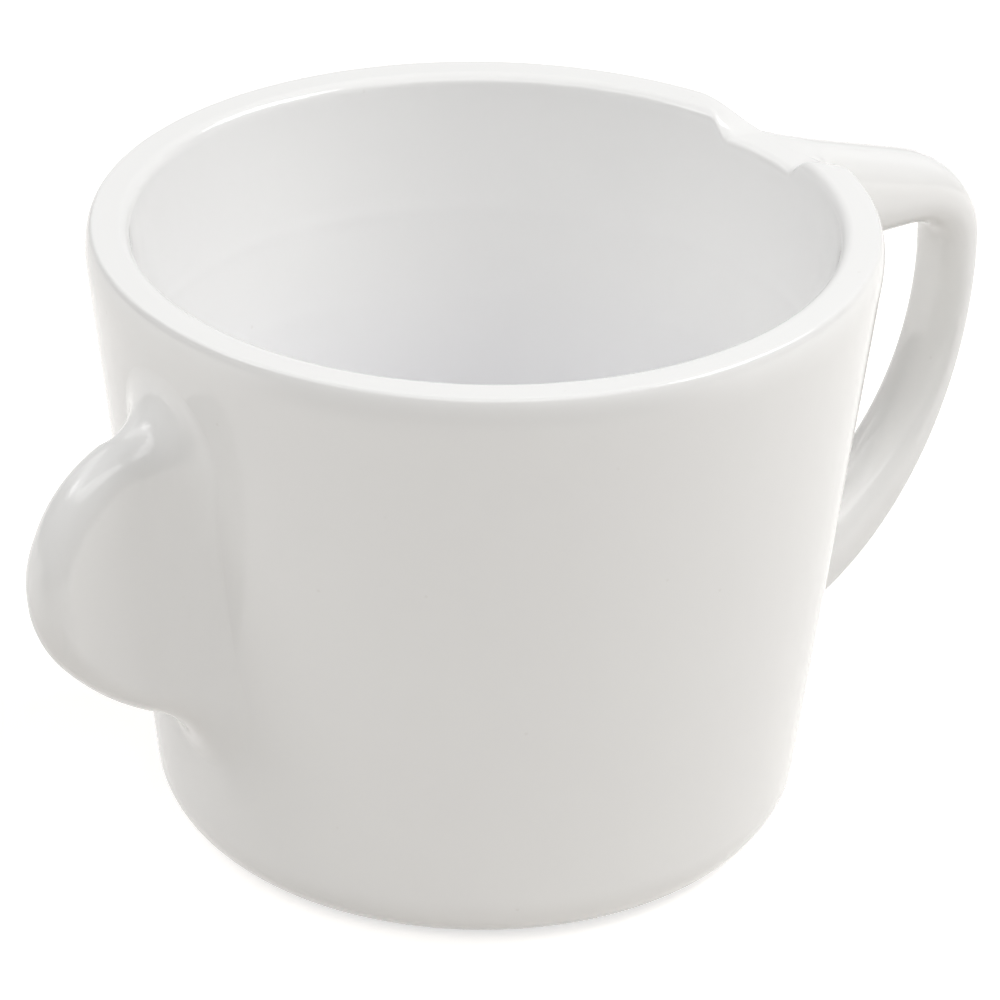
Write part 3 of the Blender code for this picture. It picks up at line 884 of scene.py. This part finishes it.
def make_screen():
    """A dark curtain round the lens's side and the dark table before the paper, both fading out at their edges.

    The glaze mirrors both as a dark band under the rim and along the lug. The lens never sees them, and they take
    no light from the cup or the paper.
    """
    cloth = bpy.data.materials.new("black_curtain")
    cloth.use_nodes = True
    tree = cloth.node_tree
    tree.nodes.clear()
    place = add_node(tree, "ShaderNodeTexCoord").outputs["Object"]
    # Folds of the curtain, 60 mm apart.
    folds = add_node(tree, "ShaderNodeTexNoise", {"Vector": place, "Scale": 1 / (60 * MM), "Detail": 1.0})
    tone = add_node(
        tree,
        "ShaderNodeMix",
        {0: folds.outputs["Fac"], 6: linear("#3A3A3A"), 7: linear("#464646")},
        data_type="RGBA",
    )
    dark = add_node(tree, "ShaderNodeBsdfDiffuse", {"Color": tone.outputs[2]})
    clear = add_node(tree, "ShaderNodeBsdfTransparent")
    cover = add_node(tree, "ShaderNodeAttribute", attribute_name="cover").outputs["Fac"]
    faded = add_node(tree, "ShaderNodeMixShader", {0: cover, 1: clear.outputs[0], 2: dark.outputs[0]})
    add_node(tree, "ShaderNodeOutputMaterial", {"Surface": faded.outputs[0]})
    points, faces, covers = [], [], []
    for reach, edge, fade in (
        (SCREEN_REACH, (SCREEN_RADIUS, SCREEN_HEIGHT), SCREEN_FADE),
        (TABLE_REACH, (TABLE_EDGE, TABLE_LIFT), TABLE_FADE),
    ):
        first = len(points)
        for compass in np.linspace(180.0 - reach, 180.0 + reach, SCREEN_COLUMNS):
            side = smooth_step((reach - abs(compass - 180.0)) / SIDE_FADE)
            for level in np.linspace(0.0, 1.0, SCREEN_ROWS):
                radius, z = np.array([SCREEN_RADIUS, TABLE_LIFT]) * (1.0 - level) + np.array(edge) * level
                points.append(tuple((towards(compass, 0.0) * radius + Vector((0, 0, z))) * MM))
                covers.append(side * smooth_step((1.0 - level) / fade))
        for start in range(first, len(points) - SCREEN_ROWS, SCREEN_ROWS):
            for k in range(start, start + SCREEN_ROWS - 1):
                faces.append((k, k + 1, k + SCREEN_ROWS + 1, k + SCREEN_ROWS))
    mesh = bpy.data.meshes.new("dark_curtain")
    mesh.from_pydata(points, [], faces)
    mesh.attributes.new("cover", "FLOAT", "POINT").data.foreach_set("value", covers)
    mesh.materials.append(cloth)
    curtain = bpy.data.objects.new("dark_curtain", mesh)
    curtain.visible_camera = False
    curtain.visible_shadow = False
    curtain.visible_diffuse = False
    bpy.context.scene.collection.objects.link(curtain)


def main():
    glaze = glazed_china()
    stand_for(make_cup_body(glaze), "cup_body")
    stand_for(make_loop_handle(glaze), "loop_handle")
    stand_for(make_lug_handle(glaze), "lug_handle")
    make_floor()
    make_screen()
    make_lamps()
    make_world()
    make_camera()
    bpy.context.scene.view_settings.view_transform = "Standard"


main()
